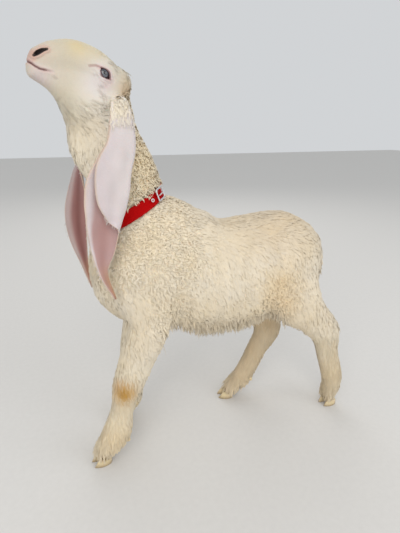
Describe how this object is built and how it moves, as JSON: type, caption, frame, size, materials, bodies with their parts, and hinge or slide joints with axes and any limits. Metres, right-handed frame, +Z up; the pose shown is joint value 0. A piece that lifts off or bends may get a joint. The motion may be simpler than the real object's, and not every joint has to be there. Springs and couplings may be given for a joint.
{
  "type": "lamb",
  "caption": "Long-eared white lamb standing mid-stride with its head raised, wearing a plain collar; a still, life-size animal.",
  "frame": {"origin": "centre of the model's footprint box, on the floor the soles stand on", "axes": "+Z up; the lamb faces -X; its left side is -Y"},
  "size_m": [0.63, 0.1946, 0.7766],
  "materials": {
    "fleece": "creamy white crimped lamb wool, matt",
    "face": "short smooth white hair over pink skin",
    "shank": "short soft white hair, a little shaggy at the fetlock",
    "ear": "thin pink skin with very short white hair",
    "eye": "wet grey-blue iris with a dark pupil",
    "horn": "yellowish translucent horn, semi-matt",
    "strap": "bright red woven webbing, matt",
    "steel": "nickel-plated steel"
  },
  "bodies": {
    "root": {"head": "face", "neck": "fleece", "trunk": "fleece", "tail": "fleece", "fore_left_upper": "fleece", "fore_left_lower": "shank", "fore_right_upper": "fleece", "fore_right_lower": "shank", "hind_left_upper": "fleece", "hind_left_lower": "shank", "hind_right_upper": "fleece", "hind_right_lower": "shank", "ear_left": "ear", "ear_right": "ear", "eye_left": "eye", "eye_right": "eye", "claw_fore_left_inner": "horn", "dewclaw_fore_left_inner": "horn", "claw_fore_left_outer": "horn", "dewclaw_fore_left_outer": "horn", "claw_fore_right_inner": "horn", "dewclaw_fore_right_inner": "horn", "claw_fore_right_outer": "horn", "dewclaw_fore_right_outer": "horn", "claw_hind_left_inner": "horn", "dewclaw_hind_left_inner": "horn", "claw_hind_left_outer": "horn", "dewclaw_hind_left_outer": "horn", "claw_hind_right_inner": "horn", "dewclaw_hind_right_inner": "horn", "claw_hind_right_outer": "horn", "dewclaw_hind_right_outer": "horn", "collar_band": "strap", "collar_buckle": "steel", "collar_pin": "steel", "collar_eyelet_1": "steel", "collar_eyelet_2": "steel", "collar_eyelet_3": "steel"}
  },
  "joints": []
}
